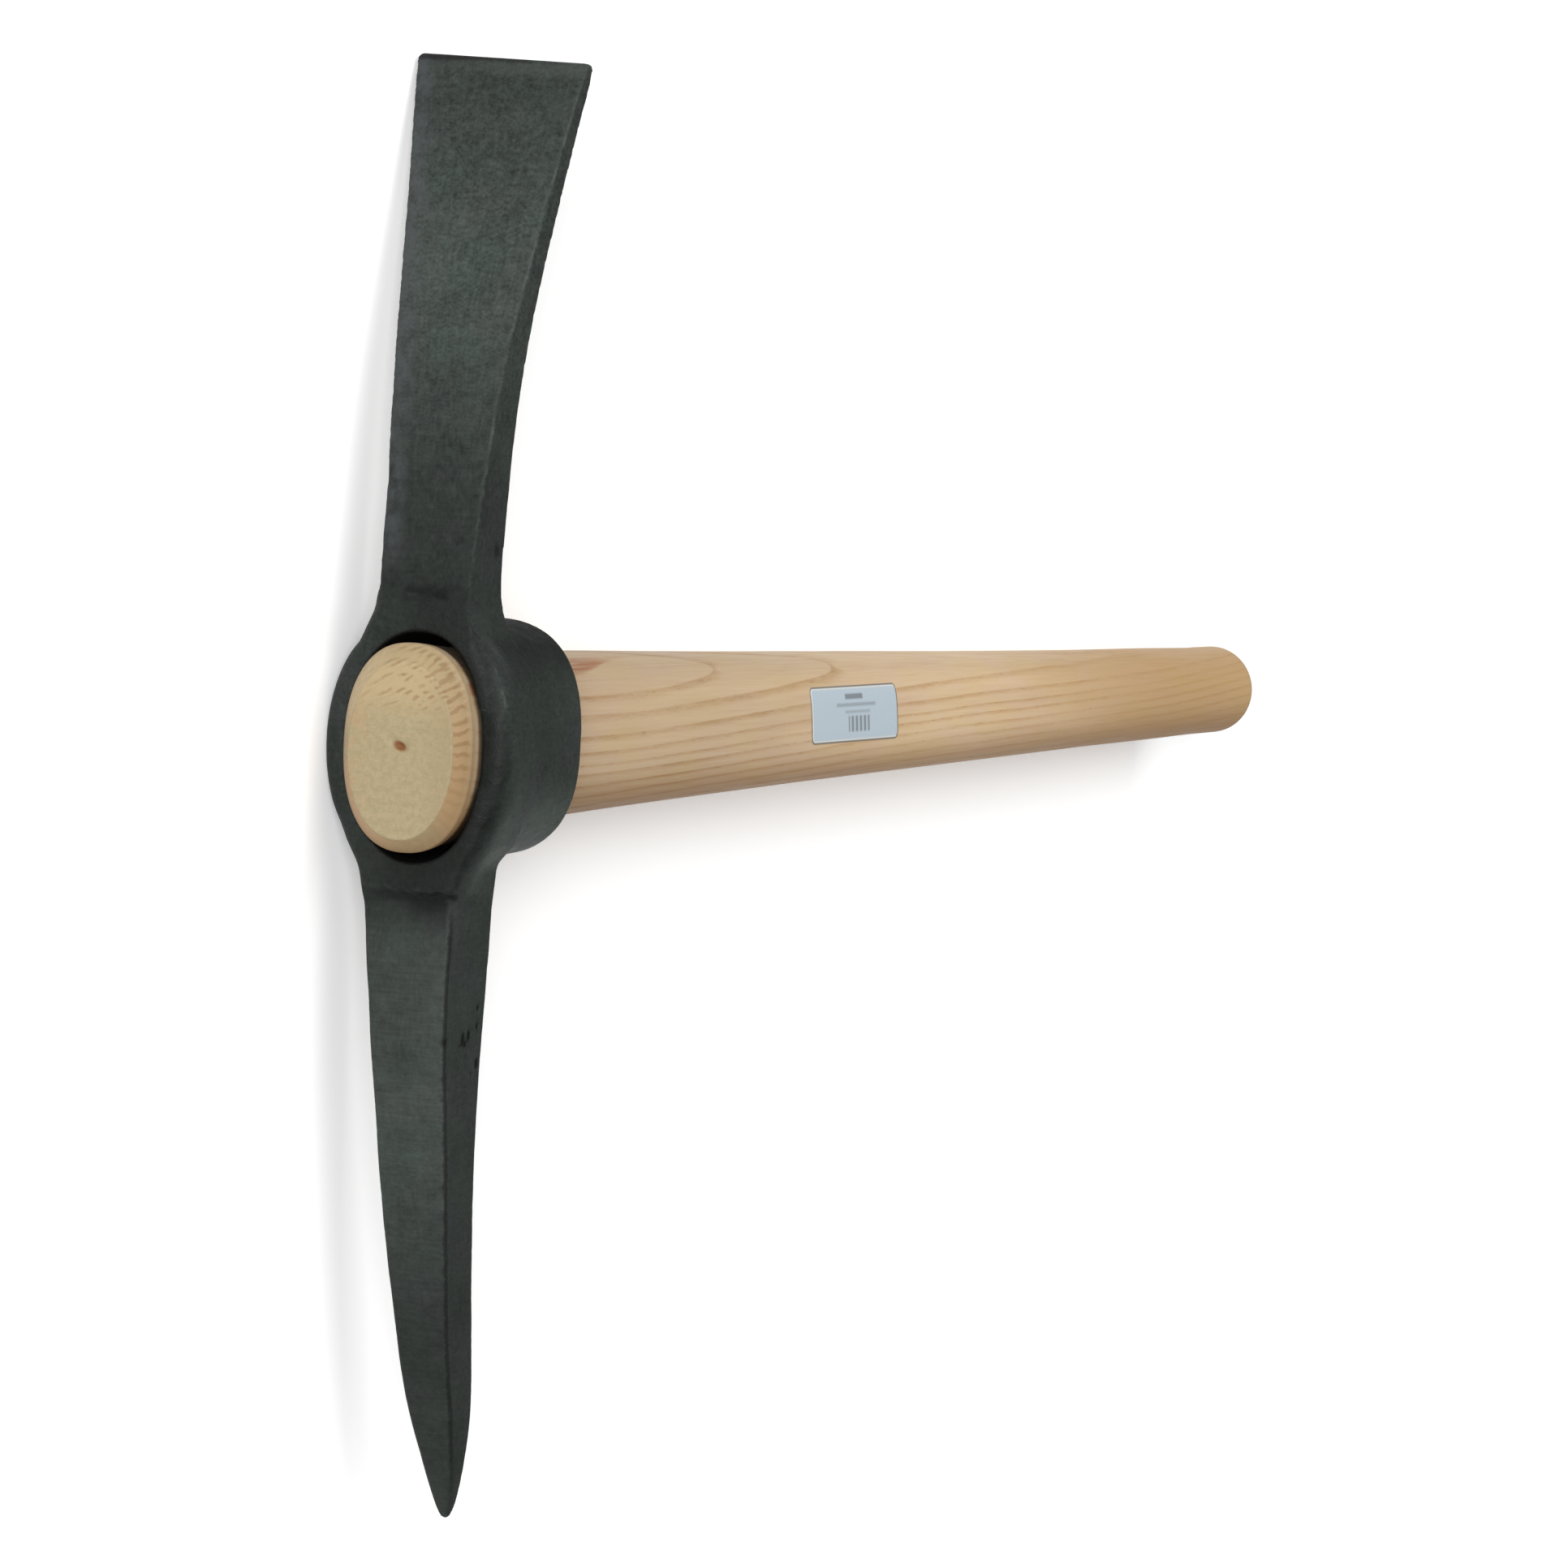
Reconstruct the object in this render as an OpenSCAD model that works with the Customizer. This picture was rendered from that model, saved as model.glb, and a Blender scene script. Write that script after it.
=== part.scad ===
// Pick axe: a forged head with a chisel arm and a point arm, slipped over a
// tapered ash handle from the grip end and jammed on the swell of its head end.
// Frame: X along the handle from its head end to its grip end, Y along the head
// towards the chisel edge, Z up when the tool lies on its side. The origin is the
// centre of the flat head end of the handle.

/* [Handle] */
// Overall length of the handle
handle_len = 914; // [800:1:1000]
// Height of the swelled head end, along the head
swell_h = 75; // [72:0.1:77]
// Width of the swelled head end, across the head
swell_w = 50.6; // [49:0.1:51.4]
// How far the handle stands out in front of the eye
proud = 12.5; // [9:0.5:16]
// Length of the chamfer round the head end
end_chamfer_len = 8.5; // [4:0.5:8.5]
// Width of the chamfer round the head end
end_chamfer_w = 4.7; // [2:0.1:6]
// Shift of the flat head end towards the point
end_drop = 1.7; // [0:0.1:2]
// Diameter of the round grip end
grip_d = 41.5; // [36:0.5:42]
// Length of the round grip end
grip_len = 26; // [20:1:40]
// Edge break at the butt
butt_break = 3; // [1:0.5:6]

/* [Eye and collar] */
// Height of the eye at its front mouth
eye_front_h = 82.4; // [81:0.1:86]
// Width of the eye at its front mouth
eye_front_w = 53.2; // [53:0.1:55]
// Height of the eye at its back mouth
eye_back_h = 66; // [65.8:0.1:68]
// Width of the eye at its back mouth
eye_back_w = 46.8; // [46.6:0.1:48]
// Shift of the eye's front mouth towards the point
eye_drop = 0.8; // [0:0.1:1]
// Depth of the collar along the handle
collar_depth = 66; // [60:1:70]
// Width of the collar across the head, at the front
collar_w = 74.5; // [70:0.5:80]
// Height of the collar along the head, at the front
collar_front_h = 95; // [92:1:104]
// Width of the collar across the head, at the back
collar_back_w = 73; // [68:0.5:78]
// Height of the collar along the head, at the back
collar_back_h = 86; // [84:0.5:92]
// Shift of the collar's back rim towards the chisel
collar_lift = 2; // [0:0.5:3]
// Rounding of the collar's front edge
collar_round = 6.5; // [3:0.5:7]

/* [Arms] */
// Length of the chisel arm, from the handle axis to the cutting edge
chisel_len = 247.5; // [220:0.5:280]
// Width of the cutting edge
edge_w = 69; // [60:0.5:80]
// How far the cutting edge is out of square, in degrees
edge_skew = 2; // [0:0.5:4]
// Length of the point arm, from the handle axis to the tip
point_len = 285; // [250:0.5:320]
// Chamfer on the arms' long edges
arm_chamfer = 1.25; // [0.5:0.25:3]

/* [Label] */
// Distance of the label's near end from the eye's front
label_start = 325; // [316:1:330]
// Length of the label along the handle
label_len = 96; // [60:1:97]
// Height of the label round the handle
label_h = 23; // [16:0.5:26]
// Shift of the label towards the chisel side
label_shift = 3; // [-4:0.5:4]
// How far the label's lower edge is shifted towards the grip
label_skew = 4.6; // [-5:0.2:5]
// Thickness of the paper
label_t = 0.2; // [0.15:0.05:0.4]
// Corner radius of the label
label_r = 3; // [1:0.5:5]

/* [Hidden] */

// Sides of the oval sections
SIDES = 48;

// Chisel arm: distance from the handle axis, front face, back face, width.
// The distances are for an arm 247.5 long and an edge 69 wide.
CHISEL = [
  [ 18,  0.0, 29.0, 62.0],
  [ 34,  0.0, 29.5, 50.0],
  [ 40,  0.0, 29.5, 45.0],
  [ 44,  0.0, 29.5, 41.5],
  [ 50,  0.3, 29.5, 37.5],
  [ 57.5, 4.0, 29.5, 36.2],
  [ 65,  5.0, 29.5, 36.5],
  [ 85,  8.0, 30.0, 38.0],
  [105, 11.0, 30.5, 40.0],
  [125, 14.5, 32.0, 42.0],
  [145, 19.0, 34.5, 45.5],
  [165, 25.0, 38.0, 49.5],
  [185, 31.0, 42.0, 53.5],
  [205, 37.5, 47.0, 58.0],
  [225, 44.0, 52.0, 62.5],
  [240, 49.5, 55.5, 66.5],
  [247.5, 52.5, 56.0, 69.0]
];

// Point arm: distance from the handle axis, front face, back face, width.
// The distances are for an arm 285 long.
POINT = [
  [ 18,  0.0, 29.0, 62.0],
  [ 34,  0.0, 31.0, 53.0],
  [ 42,  0.0, 31.5, 46.0],
  [ 46,  0.0, 32.0, 42.0],
  [ 52,  0.0, 32.0, 38.0],
  [ 53.5, 2.0, 32.5, 37.5],
  [ 58,  2.0, 32.5, 36.4],
  [ 70,  2.0, 34.0, 34.0],
  [ 90,  2.8, 35.0, 31.0],
  [110,  4.5, 35.5, 29.0],
  [130,  8.0, 36.5, 27.5],
  [150, 11.5, 37.5, 26.5],
  [170, 16.0, 39.5, 24.5],
  [190, 19.5, 43.0, 22.5],
  [210, 24.5, 47.0, 20.0],
  [230, 30.0, 51.0, 18.5],
  [240, 34.0, 52.5, 17.5],
  [250, 38.0, 54.5, 15.0],
  [260, 42.0, 55.5, 12.5],
  [270, 46.0, 55.5,  9.5],
  [279, 50.0, 54.5,  6.0],
  [285, 51.5, 53.5,  2.5]
];

// Shaft of the handle behind the eye: distance from the eye's front, half height,
// half width, squareness, rise of the slightly bowed centre line. The grip end
// follows on in its own round size.
SHAFT = [
  [ 66, 32.3, 23.0, 2.15, 0.15],
  [150, 30.3, 22.6, 2.35, 0.95],
  [235, 28.6, 22.3, 2.6,  1.0],
  [310, 27.2, 22.0, 2.9,  1.0],
  [430, 25.5, 21.6, 2.9,  0.8],
  [560, 23.8, 21.2, 2.6,  0.4],
  [700, 22.25, 20.95, 2.25, 0.2],
  [800, 21.5, 20.85, 2.1, 0.1]
];

grip_r = grip_d / 2;
grip_start = handle_len - proud - grip_len;

// Point at angle t on an oval with half sizes a and b; n = 2 is an ellipse.
function oval(a, b, n, t) = [
  a * sign(cos(t)) * pow(abs(cos(t)), 2 / n),
  b * sign(sin(t)) * pow(abs(sin(t)), 2 / n)
];

// Oval section across the handle axis at distance x, with its centre at height c
// and offset d to the side.
function section(x, hy, hz, n, c = 0, d = 0) = [
  for (i = [0 : SIDES - 1])
    let (p = oval(hy, hz, n, 360 * i / SIDES)) [x, p[0] + c, p[1] + d]
];

// Rectangular section of an arm with chamfered edges, at distance y along the
// head; k tilts it out of square.
function arm_section(y, xf, xb, w, ch, k = 0) =
  let (c = min(ch, 0.3 * (xb - xf), 0.3 * w), h = w / 2)
  [ for (q = [[xf + c, -h], [xf, -h + c], [xf, h - c], [xf + c, h],
              [xb - c, h], [xb, h - c], [xb, -h + c], [xb - c, -h]])
      [q[0], y - k * q[1], q[1]] ];

// Closed skin through a list of sections with equal numbers of points.
module skin(rings, flip = false) {
  n = len(rings[0]);
  m = len(rings);
  pts = [for (r = rings) each r];
  side = [
    for (k = [0 : m - 2], i = [0 : n - 1])
      let (a = k * n + i, b = k * n + (i + 1) % n, d = a + n, c = b + n)
      each [[a, d, c], [a, c, b]]
  ];
  caps = [[for (i = [0 : n - 1]) i], [for (i = [n - 1 : -1 : 0]) (m - 1) * n + i]];
  all_faces = concat(side, caps);
  polyhedron(
    points = pts,
    faces = flip ? [for (f = all_faces) [for (i = [len(f) - 1 : -1 : 0]) f[i]]] : all_faces
  );
}

module chisel_arm() {
  s = chisel_len / 247.5;
  skin([for (i = [0 : len(CHISEL) - 1])
    let (st = CHISEL[i], last = i == len(CHISEL) - 1,
         grow = (edge_w - 69) * pow(st[0] / 247.5, 3))
    arm_section(st[0] * s, st[1], st[2], st[3] + grow, arm_chamfer,
                last ? tan(edge_skew) : 0)]);
}

module point_arm() {
  s = point_len / 285;
  skin([for (st = POINT) arm_section(-st[0] * s, st[1], st[2], st[3], arm_chamfer)], flip = true);
}

module collar() {
  hw = collar_w / 2;
  bw = collar_back_w / 2;
  bh = collar_back_h / 2;
  r = collar_round;
  fh = collar_front_h / 2;
  skin([
    section(0,                fh - 0.8 * r, hw - 0.8 * r, 2.15),
    section(0.2 * r,          fh - 0.4 * r, hw - 0.4 * r, 2.15),
    section(0.55 * r,         fh - 0.1 * r, hw - 0.1 * r, 2.15),
    section(r,                fh,           hw,           2.15),
    section(0.45 * collar_depth, (fh + 2 * bh) / 3 + 1, hw - 0.2, 2.25, 0.4 * collar_lift),
    section(0.75 * collar_depth, bh + 1,    bw + 0.2,     2.4, 0.8 * collar_lift),
    section(collar_depth - 2, bh,           bw,           2.5, collar_lift),
    section(collar_depth,     bh - 1.5,     bw - 1.5,     2.5, collar_lift)
  ]);
}

module eye() {
  // The taper is carried straight on past both mouths.
  e = 4;
  dh = (eye_front_h - eye_back_h) / collar_depth * e / 2;
  dw = (eye_front_w - eye_back_w) / collar_depth * e / 2;
  skin([
    section(-e, eye_front_h / 2 + dh, eye_front_w / 2 + dw, 2.15, -eye_drop),
    section(collar_depth + e, eye_back_h / 2 - dh, eye_back_w / 2 - dw, 2.15)
  ]);
}

module pick_head() {
  color([0.24, 0.26, 0.25])
  translate([proud, 0, 0])
  difference() {
    union() {
      collar();
      chisel_arm();
      point_arm();
    }
    eye();
  }
}

module handle_shaft() {
  c0 = -proud;
  hh = swell_h / 2;
  hw = swell_w / 2;
  skin(concat(
    [
      section(c0, hh - 1.2 * end_chamfer_w, hw - end_chamfer_w, 2.15, -end_drop, 0.3),
      section(c0 + end_chamfer_len, hh, hw, 2.3, -0.9, -0.5)
    ],
    [for (s = SHAFT) section(s[0], s[1], s[2], s[3], s[4])],
    [section(grip_start, grip_r - 0.1, grip_r - 0.1, 2)]
  ));
}

module grip_end() {
  translate([grip_start, 0, 0])
  rotate([0, 90, 0])
  rotate_extrude($fn = 96)
    polygon([[0, 0], [grip_r, 0], [grip_r, grip_len - butt_break],
             [grip_r - butt_break, grip_len], [0, grip_len]]);
}

module handle() {
  color([0.80, 0.68, 0.50])
  translate([proud, 0, 0])
  union() {
    handle_shaft();
    grip_end();
  }
}

// Short length of the shaft under the label, grown outwards by g.
module shaft_under_label(g) {
  a = SHAFT[3];
  b = SHAFT[4];
  skin([
    section(a[0], a[1] + g, a[2] + g, a[3], a[4]),
    section(b[0], b[1] + g, b[2] + g, b[3], b[4])
  ]);
}

// Rounded plate centred on the origin, its lower edge shifted by k along X.
module skewed_plate(l, h, r, t, k) {
  linear_extrude(t)
  polygon([
    for (q = [[1, 1, 0], [-1, 1, 90], [-1, -1, 180], [1, -1, 270]], a = [0 : 15 : 90])
      let (x = q[0] * (l / 2 - r) + r * cos(q[2] + a), y = q[1] * (h / 2 - r) + r * sin(q[2] + a))
      [x - k * y / h, y]
  ]);
}

module label() {
  color([0.76, 0.80, 0.83])
  translate([proud, 0, 0])
  difference() {
    intersection() {
      shaft_under_label(label_t);
      translate([label_start + label_len / 2, label_shift, 5])
        skewed_plate(label_len, label_h, label_r, 40, label_skew);
    }
    shaft_under_label(0);
  }
}

pick_head();
handle();
label();
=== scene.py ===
import math

import bpy
import numpy as np
from mathutils import Matrix, Vector


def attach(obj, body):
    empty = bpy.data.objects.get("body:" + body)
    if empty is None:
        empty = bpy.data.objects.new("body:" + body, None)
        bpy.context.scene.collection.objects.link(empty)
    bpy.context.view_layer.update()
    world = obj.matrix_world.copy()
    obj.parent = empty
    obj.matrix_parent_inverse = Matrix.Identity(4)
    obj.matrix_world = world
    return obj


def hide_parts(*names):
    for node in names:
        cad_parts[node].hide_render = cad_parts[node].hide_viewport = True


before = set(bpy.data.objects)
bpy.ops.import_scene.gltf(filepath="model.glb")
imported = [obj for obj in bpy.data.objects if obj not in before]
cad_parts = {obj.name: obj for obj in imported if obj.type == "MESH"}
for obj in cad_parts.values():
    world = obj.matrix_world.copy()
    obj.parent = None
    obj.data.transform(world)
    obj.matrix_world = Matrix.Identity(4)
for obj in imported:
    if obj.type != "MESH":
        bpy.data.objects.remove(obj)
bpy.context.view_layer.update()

MM = 0.001
PROUD = 12.5  # mm from the handle's head end back to the eye's front

# All shapes below are worked out in mm with x measured from the eye's front, and
# turned into metres in the shared frame when the mesh is made.


# ---------------------------------------------------------------- camera
cam_data = bpy.data.cameras.new("camera")
cam_data.sensor_fit = "HORIZONTAL"
cam_data.sensor_width = 36.0
cam_data.lens = 149.07
cam_data.clip_start = 0.05
cam_data.clip_end = 150.0
cam = bpy.data.objects.new("camera", cam_data)
bpy.context.scene.collection.objects.link(cam)
_back = Vector((-0.92572301, 0.0561129, 0.37401637)).normalized()
_right = Vector((0.37651944, 0.04355066, 0.92538449)).normalized()
_up = _back.cross(_right).normalized()
_right = _up.cross(_back).normalized()
cam.matrix_world = Matrix(
    (
        (_right.x, _up.x, _back.x, -2.07882661),
        (_right.y, _up.y, _back.y, 0.12163634),
        (_right.z, _up.z, _back.z, 0.9874546),
        (0, 0, 0, 1),
    )
)
bpy.context.scene.camera = cam


# ---------------------------------------------------------------- small helpers
def pchip(table):
    """Smooth curve through (x, y) points that never overshoots them."""
    xs = np.array([p[0] for p in table], float)
    ys = np.array([p[1] for p in table], float)
    h = np.diff(xs)
    d = np.diff(ys) / h
    m = np.zeros(len(xs))
    m[0], m[-1] = d[0], d[-1]
    for i in range(1, len(xs) - 1):
        if d[i - 1] * d[i] > 0:
            w1, w2 = 2 * h[i] + h[i - 1], h[i] + 2 * h[i - 1]
            m[i] = (w1 + w2) / (w1 / d[i - 1] + w2 / d[i])

    def f(x):
        x = np.clip(x, xs[0], xs[-1])
        k = np.clip(np.searchsorted(xs, x, side="right") - 1, 0, len(h) - 1)
        t = (x - xs[k]) / h[k]
        t2, t3 = t * t, t * t * t
        return (
            (2 * t3 - 3 * t2 + 1) * ys[k]
            + (t3 - 2 * t2 + t) * h[k] * m[k]
            + (-2 * t3 + 3 * t2) * ys[k + 1]
            + (t3 - t2) * h[k] * m[k + 1]
        )

    return f


def smooth(a, b, x):
    t = np.clip((x - a) / (b - a), 0.0, 1.0)
    return t * t * (3 - 2 * t)


def lattice(ix, iy, iz, seed):
    m = np.uint64(0xFFFFFFFF)
    h = (
        ix.astype(np.int64).astype(np.uint64) * np.uint64(374761393)
        + iy.astype(np.int64).astype(np.uint64) * np.uint64(668265263)
        + iz.astype(np.int64).astype(np.uint64) * np.uint64(2246822519)
        + np.uint64(seed * 3266489917 + 97)
    ) & m
    h = ((h ^ (h >> np.uint64(15))) * np.uint64(2246822519)) & m
    h = ((h ^ (h >> np.uint64(13))) * np.uint64(3266489917)) & m
    h = h ^ (h >> np.uint64(16))
    return h.astype(float) / 2147483647.5 - 1.0


def noise(p, size, seed=0):
    """Smooth noise from -1 to 1; size is the cell in the units of p (one number or three)."""
    q = p / np.asarray(size, float) + 1000.0
    i = np.floor(q)
    f = q - i
    f = f * f * f * (f * (f * 6 - 15) + 10)
    ix, iy, iz = i[:, 0], i[:, 1], i[:, 2]
    out = 0.0
    for dx in (0, 1):
        wx = f[:, 0] if dx else 1 - f[:, 0]
        for dy in (0, 1):
            wy = f[:, 1] if dy else 1 - f[:, 1]
            for dz in (0, 1):
                wz = f[:, 2] if dz else 1 - f[:, 2]
                out = out + wx * wy * wz * lattice(ix + dx, iy + dy, iz + dz, seed)
    return out


def both(a, b, r):
    """Inside both a and b, with the edge between them rounded to radius r."""
    u, v = a + r, b + r
    return (
        np.minimum(np.maximum(u, v), 0.0)
        + np.hypot(np.maximum(u, 0.0), np.maximum(v, 0.0))
        - r
    )


def join(a, b, k):
    """Inside a or b, with a fillet of size k between them."""
    h = np.maximum(k - np.abs(a - b), 0.0) / k
    return np.minimum(a, b) - h * h * k * 0.25


def oval_distance(y, z, hy, hz, n):
    ay, az = np.abs(y) / hy + 1e-6, np.abs(z) / hz + 1e-6
    s = ay**n + az**n
    g = s ** (1.0 / n)
    c = g / s
    gy, gz = c * ay ** (n - 1) / hy, c * az ** (n - 1) / hz
    return (g - 1.0) / np.maximum(np.hypot(gy, gz), 1.0 / 60.0)


def mesh_object(name, verts, faces, shade_smooth=True):
    me = bpy.data.meshes.new(name)
    me.from_pydata(np.asarray(verts).tolist(), [], [list(map(int, f)) for f in faces])
    me.validate()
    me.update()
    if shade_smooth:
        me.polygons.foreach_set("use_smooth", [True] * len(me.polygons))
    ob = bpy.data.objects.new(name, me)
    bpy.context.scene.collection.objects.link(ob)
    return ob


def point_value(ob, name, values):
    a = ob.data.attributes.new(name, "FLOAT", "POINT")
    a.data.foreach_set("value", np.asarray(values, np.float32))


# ---------------------------------------------------------------- head shape
# Distance from the handle axis, front face, back face, width.
CHISEL = (
    (14, 0.0, 29.0, 64.0), (18, 0.0, 29.0, 62.0), (34, 0.5, 29.5, 50.0),
    (40, 1.2, 29.5, 45.0), (44, 2.0, 29.5, 41.5), (48, 2.8, 29.5, 38.4),
    (52, 3.4, 29.5, 36.8), (58, 4.1, 29.5, 36.2), (65, 5.0, 29.5, 36.5),
    (85, 8.0, 30.0, 38.0), (105, 11.0, 30.5, 40.0), (125, 14.5, 32.0, 42.3),
    (145, 19.0, 34.5, 45.5), (165, 25.0, 38.0, 49.5), (185, 31.0, 42.0, 53.7),
    (205, 37.5, 47.0, 58.0), (225, 44.0, 52.0, 62.7), (240, 49.5, 55.5, 66.5),
    (249, 53.0, 56.0, 69.2),
)
POINT = (
    (14, 0.0, 29.0, 64.5), (18, 0.0, 29.0, 63.0), (34, 0.4, 31.0, 54.6),
    (38, 0.8, 31.5, 50.6), (42, 1.4, 31.5, 46.0), (46, 1.9, 32.0, 42.0),
    (50, 2.2, 32.0, 39.0), (56, 2.2, 32.5, 36.9), (64, 2.0, 33.4, 35.0),
    (76, 2.1, 34.3, 33.0), (90, 2.8, 35.0, 31.0), (110, 4.5, 35.5, 29.0),
    (130, 8.0, 36.5, 27.5), (150, 11.5, 37.5, 26.4), (170, 15.5, 39.5, 24.6),
    (190, 19.7, 43.0, 22.5), (210, 24.5, 47.0, 20.3), (230, 30.0, 51.0, 18.5),
    (240, 33.8, 52.7, 17.3), (250, 37.8, 54.5, 15.2), (260, 42.0, 55.4, 12.8),
    (270, 46.0, 55.5, 10.0), (278, 49.3, 55.2, 6.8), (282.5, 51.1, 54.4, 4.0),
    (284.4, 52.0, 53.9, 2.1), (285, 52.8, 53.2, 0.5),
)


def columns(rows):
    return [pchip([(r[0], r[k]) for r in rows]) for k in (1, 2, 3)]


CHISEL_CURVES = columns(CHISEL)
POINT_CURVES = columns(POINT)
COLLAR_H = pchip(((0, 47.5), (6.5, 47.5), (30, 45.0), (49.5, 43.5), (66, 43.1)))
COLLAR_W = pchip(((0, 36.9), (6.5, 36.9), (30, 36.8), (49.5, 36.5), (66, 36.3)))
COLLAR_N = pchip(((0, 2.15), (6.5, 2.15), (30, 2.25), (49.5, 2.4), (66, 2.5)))
COLLAR_C = pchip(((0, 0), (6.5, 0), (30, 0.6), (49.5, 1.25), (66, 1.6)))
SKEW = math.tan(math.radians(2.3))
POINT_LEAN = pchip(((44, 0.0), (50, 0.8), (54, 1.9), (66, 1.3), (80, 1.0), (95, 0.6), (110, 0.3), (140, 0.0)))


def arm(x, z, along, curves, r_front, r_back, raised, pinch=0.0, slant=0.0):
    front, back, width = (c(along) for c in curves)
    front = front * (1 - raised) - 0.2 * raised
    tx, hz = (back - front) / 2, width / 2 - pinch * smooth(8, 26, x)
    u = np.clip((x - (front + back) / 2) / tx, -1, 1)
    hz = hz - slant * (0.5 - 0.5 * u)
    most = 0.42 * np.minimum(tx, hz)
    v = np.clip(z / hz, -1, 1)
    r = np.minimum(np.where(u < 0, r_front, r_back), most)
    # the sizes are those seen past the rounded edges; forged faces are a little crowned
    lap = 0.23 * np.minimum(r_back, most)
    qx = np.abs(x - (front + back) / 2) - (tx + lap + 0.30 * (1 - v * v)) + r
    qz = np.abs(z) - (hz + lap + 0.25 * (1 - u * u)) + r
    return (
        np.hypot(np.maximum(qx, 0), np.maximum(qz, 0))
        + np.minimum(np.maximum(qx, qz), 0)
        - r
    )


def eye_distance(x, y, z):
    # the front mouth sits a little low, its two ends a little to the right
    f = 1 - x / 66
    off = f * (0.9 * smooth(16, 40, np.abs(y)) - 0.1)
    return oval_distance(y + 0.8 * f, z - off, 41.1 - 8.1 / 66 * x, 26.4 - 3.0 / 66 * x, 2.15)


def step_line(y, z):
    """Ragged line of the step at the point's root: over 0 on the eye's side."""
    return y + 52.5 + 0.015 * z + 0.45 * np.sin(z * 0.31 + 0.9) + 0.35 * np.sin(z * 0.93) + 0.15 * np.sin(z * 2.3)


def head_base(p):
    x, y, z = p[:, 0], p[:, 1], p[:, 2]
    # chisel arm, cut a little out of square, with eased corners
    # the front of the eye is raised: a soft shoulder on the chisel, a step on the point
    r = 1.7 + 1.5 * smooth(4, -4, z) - 0.6 * smooth(170, 245, y)
    neck = smooth(60, 44, y) * smooth(4, -4, z) + smooth(46, 34, y) * smooth(-4, 4, z)
    lean = 0.65 * np.exp(-(((y - 49) / 9) ** 2))
    c = arm(x, z - lean, y, CHISEL_CURVES, r + 4.2 * neck, r, smooth(57.5, 50.0, y))
    c = np.maximum(c, 14 - y)
    edge = y - (247.25 - SKEW * z)
    c = both(c, edge, 1.0)
    hz = CHISEL_CURVES[2](y) / 2
    corner = np.hypot(np.maximum(np.abs(z) - (hz - 2.6), 0), np.maximum(edge + 2.6, 0)) - 2.6
    c = np.maximum(c, corner)
    # point arm
    step = step_line(y, z)
    wide = 0.9 + 4.5 * smooth(7, -14, z)
    r = 1.9 - 0.8 * smooth(-3, 3, z) * smooth(52, 62, -y) + 4.3 * smooth(55, 42, -y)
    r = r + 2.0 * smooth(-3, 3, z) * np.exp(-(((y + 58) / 8) ** 2))
    pinch = 2.3 * np.exp(-(((y + 42.5) / 5.5) ** 2))
    slant = POINT_LEAN(-y) * smooth(-3, 3, z)
    q = arm(x, z, -y, POINT_CURVES, r, 1.9, smooth(-wide, 0.8 * wide, step), pinch, slant)
    q = np.maximum(q, np.maximum(14 + y, -y - 285))
    # collar
    ring = oval_distance(y - COLLAR_C(x), z, COLLAR_H(x), COLLAR_W(x), COLLAR_N(x))
    ring = both(both(ring, -x, 6.2), x - 66, 1.8)
    d = join(ring, c, 0.9 + 0.8 * smooth(8, 26, x))
    d = join(d, q, 0.9 + 1.4 * smooth(6, 26, x))
    return both(d, -eye_distance(x, y, z), 1.0)


DENTS = (
    # x, y, z, size along x, size along y, depth
    (18.4, -105.6, 15.0, 0.9, 1.7, 0.72), (22.9, -104.4, 15.0, 0.8, 1.6, 0.66),
    (20.6, -107.4, 15.0, 0.7, 0.9, 0.50), (16.0, -107.9, 15.0, 0.6, 0.7, 0.35),
    (28.8, -94.7, 15.4, 0.7, 1.0, 0.48), (29.3, -101.4, 15.0, 0.7, 1.1, 0.52),
    (25.8, -102.2, 15.0, 0.5, 0.7, 0.34), (31.8, -115.2, 14.4, 1.0, 1.5, 0.60),
    (21.5, -111.4, 14.6, 0.6, 0.9, 0.32), (27.5, -118.6, 14.4, 0.7, 0.9, 0.30),
    (4.7, -105.8, 14.3, 1.1, 1.5, 0.34),
    (12.0, 96.0, -19.4, 3.0, 3.0, 0.35), (24.0, 70.0, 18.6, 2.4, 2.4, 0.3),
    # scuffs on the shoulder above the eye
    (2.6, 55.5, -5.5, 3.0, 1.3, 0.22), (2.6, 54.6, -1.0, 3.0, 1.0, 0.25), (2.6, 55.8, 2.5, 3.0, 1.5, 0.22),
    (2.6, 53.6, 6.0, 3.0, 0.9, 0.30), (2.6, 52.6, 9.5, 3.0, 0.8, 0.34), (2.6, 55.0, 8.0, 3.0, 1.2, 0.22),
)


def dent_depth(p):
    out = 0.0
    for cx, cy, cz, rx, ry, dep in DENTS:
        s2 = ((p[:, 0] - cx) / rx) ** 2 + ((p[:, 1] - cy) / ry) ** 2 + ((p[:, 2] - cz) / 2.0) ** 2
        out = out + dep * np.exp(-s2 / 2)
    return out


def head_full(p):
    x, y, z = p[:, 0], p[:, 1], p[:, 2]
    d = head_base(p)
    keep = smooth(0.4, 3.5, eye_distance(x, y, z))
    keep = keep * smooth(286, 272, -y) * smooth(249, 238, y)
    lump = (
        0.24 * noise(p, 47.0, 1)
        + 0.15 * noise(p, 19.0, 2)
        + 0.075 * noise(p, 7.5, 3)
        + 0.03 * noise(p, 3.1, 4)
    )
    d = d - lump * keep
    return d + dent_depth(p)


def gradient(f, p, e):
    g = np.empty_like(p)
    for k in range(3):
        a, b = p.copy(), p.copy()
        a[:, k] += e
        b[:, k] -= e
        g[:, k] = (f(a) - f(b)) / (2 * e)
    return g


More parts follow.
